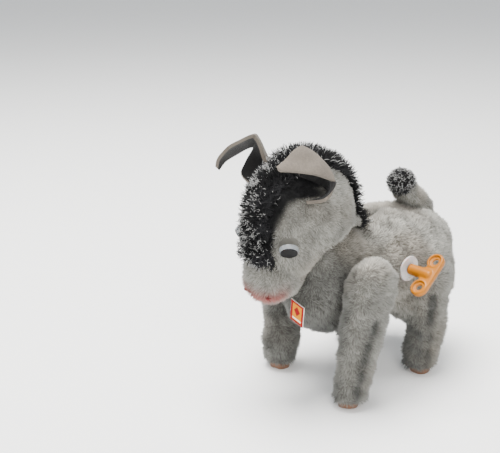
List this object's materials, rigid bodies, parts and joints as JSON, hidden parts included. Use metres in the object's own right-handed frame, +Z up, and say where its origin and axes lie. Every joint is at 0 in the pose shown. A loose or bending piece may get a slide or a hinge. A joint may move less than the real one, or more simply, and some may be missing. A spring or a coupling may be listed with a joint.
{
  "type": "clockwork plush donkey",
  "caption": "Stuffed plush donkey with a side winding key whose spring movement swings the front legs and nods the head.",
  "frame": {"origin": "on the floor, at the middle of the footprint of the whole toy", "axes": "+Z up, -Y the way the toy looks, +X its left side, where the key is"},
  "size_m": [0.1058, 0.1629, 0.157],
  "materials": {
    "grey_plush": "dense short pile, matt",
    "dark_curl": "curled pile, matt",
    "felt": "brushed felt, matt",
    "filling": "loose fibre, matt",
    "moulding": "smooth, matt",
    "hoof": "satin",
    "eye_white": "satin",
    "eye_black": "gloss",
    "key_plastic": "satin",
    "washer_plastic": "milky",
    "card": "printed card, matt",
    "thread": "sewing thread",
    "steel": "pressed sheet and drawn rod",
    "brass": "stamped sheet"
  },
  "bodies": {
    "body": {"torso_plush": "grey_plush", "torso_stuffing": "filling", "tail_plush": "grey_plush", "tail_tuft": "dark_curl", "tail_wire": "steel", "hind_leg_left_core": "steel", "hind_leg_left_plush": "grey_plush", "hind_hoof_left": "hoof", "hind_leg_right_core": "steel", "hind_leg_right_plush": "grey_plush", "hind_hoof_right": "hoof", "hind_bar": "steel", "motor_plate_left": "steel", "motor_plate_right": "steel", "plate_pillar_1": "steel", "plate_pillar_2": "steel", "plate_pillar_3": "steel", "plate_pillar_4": "steel", "front_axle": "steel", "key_washer": "washer_plastic", "mainspring": "steel", "chest_tag": "card"},
    "winding": {"winding_key": "key_plastic", "winding_arbor": "steel", "ratchet_wheel": "steel"},
    "great": {"great_wheel": "brass", "ratchet_click": "steel"},
    "second": {"second_arbor": "steel", "second_wheel": "brass"},
    "cranks": {"crankshaft": "steel", "crank_wheel": "brass", "crank_left": "steel", "crank_right": "steel"},
    "governor": {"governor_arbor": "steel", "governor_fan": "brass"},
    "front_leg_left": {"front_leg_left_core": "steel", "front_leg_left_plush": "grey_plush", "front_hoof_left": "hoof"},
    "front_leg_right": {"front_leg_right_core": "steel", "front_leg_right_plush": "grey_plush", "front_hoof_right": "hoof"},
    "head": {"head_plush": "grey_plush", "head_core": "moulding", "mane": "dark_curl", "ear_left": "felt", "ear_right": "felt", "eye_left": "eye_white", "eye_right": "eye_white", "pupil_left": "eye_black", "pupil_right": "eye_black", "nostril_stitch_left": "thread", "nostril_stitch_right": "thread", "neck_lever": "steel"}
  },
  "joints": [
    {"name": "key_turn", "type": "hinge", "parent": "body", "child": "winding", "pos_m": [0, 0.0165, 0.0753], "axis": [1, 0, 0], "continuous": true},
    {"name": "train_turn", "type": "hinge", "parent": "body", "child": "great", "pos_m": [0, 0.0165, 0.0753], "axis": [1, 0, 0], "continuous": true},
    {"name": "second_turn", "type": "hinge", "parent": "body", "child": "second", "pos_m": [0, -0.00082, 0.06173], "axis": [1, 0, 0], "continuous": true},
    {"name": "crank_turn", "type": "hinge", "parent": "body", "child": "cranks", "pos_m": [0, -0.016, 0.061], "axis": [1, 0, 0], "continuous": true},
    {"name": "governor_turn", "type": "hinge", "parent": "body", "child": "governor", "pos_m": [0, -0.01074, 0.05111], "axis": [1, 0, 0], "continuous": true},
    {"name": "left_leg_swing", "type": "hinge", "parent": "body", "child": "front_leg_left", "pos_m": [0, -0.018, 0.075], "axis": [1, 0, 0], "range_deg": [-10.8, 13.2]},
    {"name": "right_leg_swing", "type": "hinge", "parent": "body", "child": "front_leg_right", "pos_m": [0, -0.018, 0.075], "axis": [1, 0, 0], "range_deg": [-13.2, 10.8]},
    {"name": "head_nod", "type": "hinge", "parent": "body", "child": "head", "pos_m": [0, -0.018, 0.075], "axis": [1, 0, 0], "range_deg": [-2.2, 2.7]}
  ],
  "couplings": [
    {"joint": "second_turn", "follows": "train_turn", "ratio": -4},
    {"joint": "crank_turn", "follows": "train_turn", "ratio": 15},
    {"joint": "governor_turn", "follows": "train_turn", "ratio": -37.5},
    {"joint": "right_leg_swing", "follows": "left_leg_swing", "ratio": -1},
    {"joint": "head_nod", "follows": "left_leg_swing", "ratio": 0.2}
  ]
}
